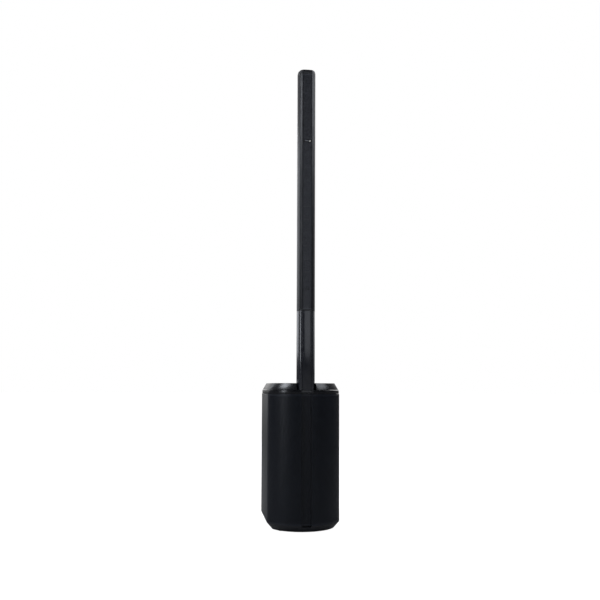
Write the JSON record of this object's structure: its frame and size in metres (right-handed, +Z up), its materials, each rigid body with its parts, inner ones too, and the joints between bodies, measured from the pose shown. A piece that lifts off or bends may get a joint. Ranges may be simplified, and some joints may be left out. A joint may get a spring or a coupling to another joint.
{
  "type": "column pa system",
  "caption": "Portable column loudspeaker: a floor-standing bass base with an arched grille, a recessed handle and rear controls, and a slim two-piece array column plugged into its top.",
  "frame": {"origin": "on the floor, under the middle of the base", "axes": "+Z up, -Y towards the listener (the grille side), +X to the right as the listener faces the grille"},
  "size_m": [0.317, 0.4388, 2.003],
  "materials": {
    "cabinet_plastic": "finely textured black moulding",
    "grille_steel": "black powder coat over perforated steel",
    "column_gloss": "smooth semi-gloss black",
    "column_plastic": "satin black moulding",
    "panel_plastic": "matte black panel",
    "foot_rubber": "black rubber",
    "grip_rubber": "soft black over-moulding",
    "knob_plastic": "ribbed black knob",
    "button_plastic": "grey translucent key",
    "jack_plastic": "black nylon",
    "jack_metal": "nickel-plated brass",
    "baffle_board": "black structural foam",
    "cone_paper": "treated black paper pulp",
    "spider_cloth": "resin-dipped cloth",
    "frame_metal": "black stamped steel",
    "driver_frame_plastic": "black glass-filled plastic",
    "magnet_metal": "zinc-plated steel over magnet",
    "coil_metal": "aluminium former",
    "port_plastic": "black plastic tube",
    "board_laminate": "green circuit board",
    "sink_aluminium": "extruded aluminium",
    "screw_steel": "black-oxide steel",
    "contact_brass": "plated contacts and copper wiring",
    "badge_plastic": "plain silver badge with no lettering"
  },
  "bodies": {
    "base": {"base_pan": "cabinet_plastic", "rubber_feet": "foot_rubber", "cabinet_shell": "cabinet_plastic", "front_baffle": "baffle_board", "front_grille": "grille_steel", "trim_ring": "cabinet_plastic", "top_cap": "cabinet_plastic", "handle_grip": "grip_rubber", "column_socket": "cabinet_plastic", "socket_contacts": "contact_brass", "woofer_basket": "frame_metal", "woofer_magnet": "magnet_metal", "woofer_surround": "foot_rubber", "woofer_spider": "spider_cloth", "port_tube": "port_plastic", "control_panel": "panel_plastic", "encoder_bodies": "jack_metal", "combo_jack_1": "jack_plastic", "combo_jack_2": "jack_plastic", "line_input_jack": "jack_metal", "aux_jack": "jack_metal", "line_output_socket": "jack_plastic", "mixer_port": "jack_plastic", "usb_port": "jack_plastic", "power_inlet": "jack_plastic", "main_board": "board_laminate", "power_board": "board_laminate", "amplifier_heatsink": "sink_aluminium", "case_screws": "screw_steel"},
    "extension": {"extension_shell": "column_gloss", "extension_lower_plug": "column_plastic", "extension_upper_plug": "column_plastic", "extension_wiring": "contact_brass"},
    "array": {"array_housing": "column_plastic", "array_grille": "grille_steel", "array_top_cap": "column_plastic", "driver_baskets": "driver_frame_plastic", "driver_surrounds": "foot_rubber", "driver_magnets": "magnet_metal", "badge_plate": "badge_plastic"},
    "woofer_moving": {"woofer_cone": "cone_paper", "dust_cap": "cone_paper", "voice_coil": "coil_metal"},
    "array_cones": {"driver_cones": "cone_paper"},
    "encoder_push_1": {"encoder_plunger_1": "jack_metal"},
    "knob_turn_1": {"knob_1": "knob_plastic"},
    "encoder_push_2": {"encoder_plunger_2": "jack_metal"},
    "knob_turn_2": {"knob_2": "knob_plastic"},
    "encoder_push_3": {"encoder_plunger_3": "jack_metal"},
    "knob_turn_3": {"knob_3": "knob_plastic"},
    "mute_button_1_body": {"mute_button_1": "button_plastic"},
    "mute_button_2_body": {"mute_button_2": "button_plastic"},
    "mute_button_3_body": {"mute_button_3": "button_plastic"},
    "preset_button_1_body": {"preset_button_1": "button_plastic"},
    "preset_button_2_body": {"preset_button_2": "button_plastic"},
    "pair_button_body": {"pair_button": "button_plastic"},
    "eq_button_body": {"eq_button": "button_plastic"},
    "standby_button_body": {"standby_button": "button_plastic"},
    "latch_1": {"combo_latch_1": "button_plastic"},
    "latch_2": {"combo_latch_2": "button_plastic"}
  },
  "joints": [
    {"name": "extension_lift", "type": "slide", "parent": "base", "child": "extension", "axis": [0, 0, 1], "range_m": [0, 0.125]},
    {"name": "array_lift", "type": "slide", "parent": "extension", "child": "array", "axis": [0, 0, 1], "range_m": [0, 0.1]},
    {"name": "woofer_stroke", "type": "slide", "parent": "base", "child": "woofer_moving", "axis": [0, -1, 0], "range_m": [-0.008, 0.008], "stiffness_N_per_m": 2500},
    {"name": "array_cone_stroke", "type": "slide", "parent": "array", "child": "array_cones", "axis": [0, -1, 0], "range_m": [-0.001, 0.001], "stiffness_N_per_m": 9000},
    {"name": "encoder_press_1", "type": "slide", "parent": "base", "child": "encoder_push_1", "axis": [0, -1, 0], "range_m": [0, 0.001], "stiffness_N_per_m": 2500},
    {"name": "knob_rotation_1", "type": "hinge", "parent": "encoder_push_1", "child": "knob_turn_1", "pos_m": [-0.072, 0.205, 0.506], "axis": [0, 1, 0], "continuous": true},
    {"name": "encoder_press_2", "type": "slide", "parent": "base", "child": "encoder_push_2", "axis": [0, -1, 0], "range_m": [0, 0.001], "stiffness_N_per_m": 2500},
    {"name": "knob_rotation_2", "type": "hinge", "parent": "encoder_push_2", "child": "knob_turn_2", "pos_m": [0, 0.205, 0.506], "axis": [0, 1, 0], "continuous": true},
    {"name": "encoder_press_3", "type": "slide", "parent": "base", "child": "encoder_push_3", "axis": [0, -1, 0], "range_m": [0, 0.001], "stiffness_N_per_m": 2500},
    {"name": "knob_rotation_3", "type": "hinge", "parent": "encoder_push_3", "child": "knob_turn_3", "pos_m": [0.072, 0.205, 0.506], "axis": [0, 1, 0], "continuous": true},
    {"name": "mute_1_press", "type": "slide", "parent": "base", "child": "mute_button_1_body", "axis": [0, -1, 0], "range_m": [0, 0.0012], "stiffness_N_per_m": 1500},
    {"name": "mute_2_press", "type": "slide", "parent": "base", "child": "mute_button_2_body", "axis": [0, -1, 0], "range_m": [0, 0.0012], "stiffness_N_per_m": 1500},
    {"name": "mute_3_press", "type": "slide", "parent": "base", "child": "mute_button_3_body", "axis": [0, -1, 0], "range_m": [0, 0.0012], "stiffness_N_per_m": 1500},
    {"name": "preset_1_press", "type": "slide", "parent": "base", "child": "preset_button_1_body", "axis": [0, -1, 0], "range_m": [0, 0.0012], "stiffness_N_per_m": 1500},
    {"name": "preset_2_press", "type": "slide", "parent": "base", "child": "preset_button_2_body", "axis": [0, -1, 0], "range_m": [0, 0.0012], "stiffness_N_per_m": 1500},
    {"name": "pair_press", "type": "slide", "parent": "base", "child": "pair_button_body", "axis": [0, -1, 0], "range_m": [0, 0.0012], "stiffness_N_per_m": 1500},
    {"name": "eq_press", "type": "slide", "parent": "base", "child": "eq_button_body", "axis": [0, -1, 0], "range_m": [0, 0.0012], "stiffness_N_per_m": 1500},
    {"name": "standby_press", "type": "slide", "parent": "base", "child": "standby_button_body", "axis": [0, -1, 0], "range_m": [0, 0.0012], "stiffness_N_per_m": 1500},
    {"name": "latch_press_1", "type": "slide", "parent": "base", "child": "latch_1", "axis": [0, -1, 0], "range_m": [0, 0.0015], "stiffness_N_per_m": 1200},
    {"name": "latch_press_2", "type": "slide", "parent": "base", "child": "latch_2", "axis": [0, -1, 0], "range_m": [0, 0.0015], "stiffness_N_per_m": 1200}
  ]
}
